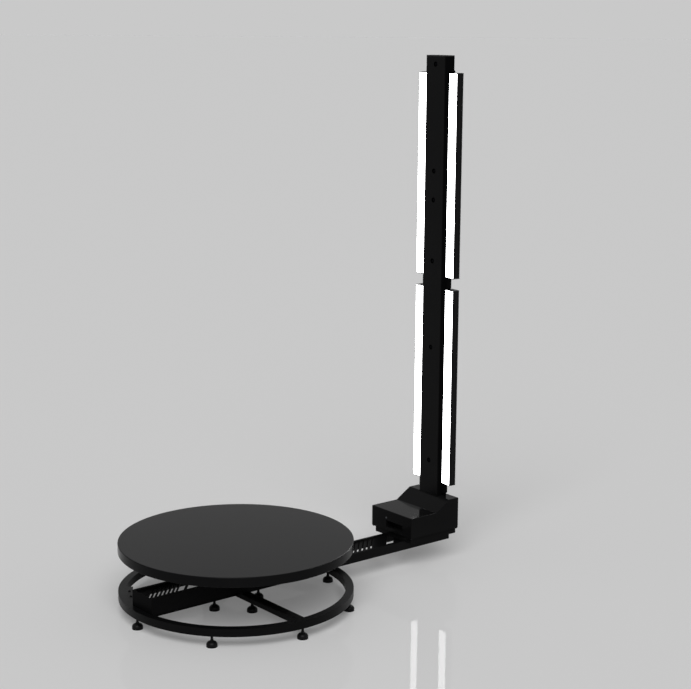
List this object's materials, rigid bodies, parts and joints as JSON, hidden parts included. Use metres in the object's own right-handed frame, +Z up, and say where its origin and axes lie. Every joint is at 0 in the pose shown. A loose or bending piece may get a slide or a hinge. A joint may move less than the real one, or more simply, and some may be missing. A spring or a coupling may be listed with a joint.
{
  "type": "full-body 3D scanner",
  "caption": "Walk-on 3D scanner: a motor-driven turntable on a levelled ring base, and a tall camera mast with toed-in lamps on an arm.",
  "frame": {"origin": "centre of the bounding box at the level of the feet", "axes": "+X along the arm from the turntable to the mast, +Y to the left seen along the arm from the turntable, +Z up"},
  "size_m": [1.5026, 0.9146, 2.075],
  "materials": {
    "frame_black": "semi-gloss powder coat",
    "deck_black": "gloss",
    "cover_black": "gloss",
    "mast_black": "semi-gloss",
    "cast_black": "painted",
    "bearing_steel": "ground",
    "ball_chrome": "polished",
    "zinc": "zinc plated",
    "bolt_black": "black oxide",
    "wheel_rubber": "matte",
    "motor_grey": "satin",
    "unit_black": "matte",
    "black_plastic": "fine grain",
    "light_lens": "clear",
    "camera_black": "gloss",
    "foot_black": "satin",
    "lamp_black": "satin anodised",
    "lamp_diffuser": "opal"
  },
  "bodies": {
    "frame": {"base_ring": "frame_black", "cross_tube_long": "frame_black", "cross_tube_left": "frame_black", "cross_tube_right": "frame_black", "foot_inserts": "zinc", "table_beam": "frame_black", "arm_beam": "frame_black", "beam_splice": "frame_black", "frame_bolts": "bolt_black", "beam_packers": "frame_black", "bearing_post": "cast_black", "bearing_outer_ring": "bearing_steel", "bearing_balls": "ball_chrome", "motor_bracket": "frame_black", "drive_motor": "motor_grey", "housing_cover": "cover_black", "housing_tray": "cover_black", "cover_screws": "bolt_black", "status_light": "light_lens", "power_supply": "motor_grey", "control_computer": "unit_black", "power_inlet": "black_plastic", "switch_frame": "black_plastic", "mast_tube": "mast_black", "mast_cap": "black_plastic", "lamp_brackets": "frame_black", "camera_1": "camera_black", "camera_2": "camera_black", "camera_3": "camera_black", "camera_4": "camera_black", "camera_5": "camera_black", "camera_6": "camera_black"},
    "turntable": {"turntable_deck": "deck_black", "bearing_inner_ring": "bearing_steel"},
    "wheel": {"drive_wheel": "wheel_rubber"},
    "rocker": {"power_switch": "black_plastic"},
    "foot_01": {"levelling_foot_01": "foot_black"},
    "foot_02": {"levelling_foot_02": "foot_black"},
    "foot_03": {"levelling_foot_03": "foot_black"},
    "foot_04": {"levelling_foot_04": "foot_black"},
    "foot_05": {"levelling_foot_05": "foot_black"},
    "foot_06": {"levelling_foot_06": "foot_black"},
    "foot_07": {"levelling_foot_07": "foot_black"},
    "foot_08": {"levelling_foot_08": "foot_black"},
    "foot_09": {"levelling_foot_09": "foot_black"},
    "foot_10": {"levelling_foot_10": "foot_black"},
    "foot_11": {"levelling_foot_11": "foot_black"},
    "foot_12": {"levelling_foot_12": "foot_black"},
    "lamp_lower_left": {"lamp_lower_left_profile": "lamp_black", "lamp_lower_left_diffuser": "lamp_diffuser", "lamp_lower_left_caps": "black_plastic"},
    "lamp_lower_right": {"lamp_lower_right_profile": "lamp_black", "lamp_lower_right_diffuser": "lamp_diffuser", "lamp_lower_right_caps": "black_plastic"},
    "lamp_upper_left": {"lamp_upper_left_profile": "lamp_black", "lamp_upper_left_diffuser": "lamp_diffuser", "lamp_upper_left_caps": "black_plastic"},
    "lamp_upper_right": {"lamp_upper_right_profile": "lamp_black", "lamp_upper_right_diffuser": "lamp_diffuser", "lamp_upper_right_caps": "black_plastic"}
  },
  "joints": [
    {"name": "turntable_turn", "type": "hinge", "parent": "frame", "child": "turntable", "pos_m": [-0.29403, 0, 0.194], "axis": [0, 0, 1], "continuous": true},
    {"name": "wheel_turn", "type": "hinge", "parent": "frame", "child": "wheel", "pos_m": [-0.29403, 0.205, 0.1972], "axis": [0, 1, 0], "continuous": true},
    {"name": "power_rocker", "type": "hinge", "parent": "frame", "child": "rocker", "pos_m": [0.74397, 0.091, 0.205], "axis": [0, 1, 0], "range_deg": [-14, 0]},
    {"name": "foot_01_height", "type": "slide", "parent": "frame", "child": "foot_01", "axis": [0, 0, 1], "range_m": [-0.008, 0.008]},
    {"name": "foot_02_height", "type": "slide", "parent": "frame", "child": "foot_02", "axis": [0, 0, 1], "range_m": [-0.008, 0.008]},
    {"name": "foot_03_height", "type": "slide", "parent": "frame", "child": "foot_03", "axis": [0, 0, 1], "range_m": [-0.008, 0.008]},
    {"name": "foot_04_height", "type": "slide", "parent": "frame", "child": "foot_04", "axis": [0, 0, 1], "range_m": [-0.008, 0.008]},
    {"name": "foot_05_height", "type": "slide", "parent": "frame", "child": "foot_05", "axis": [0, 0, 1], "range_m": [-0.008, 0.008]},
    {"name": "foot_06_height", "type": "slide", "parent": "frame", "child": "foot_06", "axis": [0, 0, 1], "range_m": [-0.008, 0.008]},
    {"name": "foot_07_height", "type": "slide", "parent": "frame", "child": "foot_07", "axis": [0, 0, 1], "range_m": [-0.008, 0.008]},
    {"name": "foot_08_height", "type": "slide", "parent": "frame", "child": "foot_08", "axis": [0, 0, 1], "range_m": [-0.008, 0.008]},
    {"name": "foot_09_height", "type": "slide", "parent": "frame", "child": "foot_09", "axis": [0, 0, 1], "range_m": [-0.008, 0.008]},
    {"name": "foot_10_height", "type": "slide", "parent": "frame", "child": "foot_10", "axis": [0, 0, 1], "range_m": [-0.008, 0.008]},
    {"name": "foot_11_height", "type": "slide", "parent": "frame", "child": "foot_11", "axis": [0, 0, 1], "range_m": [-0.008, 0.008]},
    {"name": "foot_12_height", "type": "slide", "parent": "frame", "child": "foot_12", "axis": [0, 0, 1], "range_m": [-0.008, 0.008]},
    {"name": "lamp_lower_left_aim", "type": "hinge", "parent": "frame", "child": "lamp_lower_left", "pos_m": [0.71877, 0.0758, 0.729], "axis": [0, 0, 1], "range_deg": [-12, 12]},
    {"name": "lamp_lower_right_aim", "type": "hinge", "parent": "frame", "child": "lamp_lower_right", "pos_m": [0.71877, -0.0758, 0.729], "axis": [0, 0, 1], "range_deg": [-12, 12]},
    {"name": "lamp_upper_left_aim", "type": "hinge", "parent": "frame", "child": "lamp_upper_left", "pos_m": [0.71877, 0.0758, 1.595], "axis": [0, 0, 1], "range_deg": [-12, 12]},
    {"name": "lamp_upper_right_aim", "type": "hinge", "parent": "frame", "child": "lamp_upper_right", "pos_m": [0.71877, -0.0758, 1.595], "axis": [0, 0, 1], "range_deg": [-12, 12]}
  ],
  "couplings": [
    {"joint": "wheel_turn", "follows": "turntable_turn", "ratio": -6.8333}
  ]
}
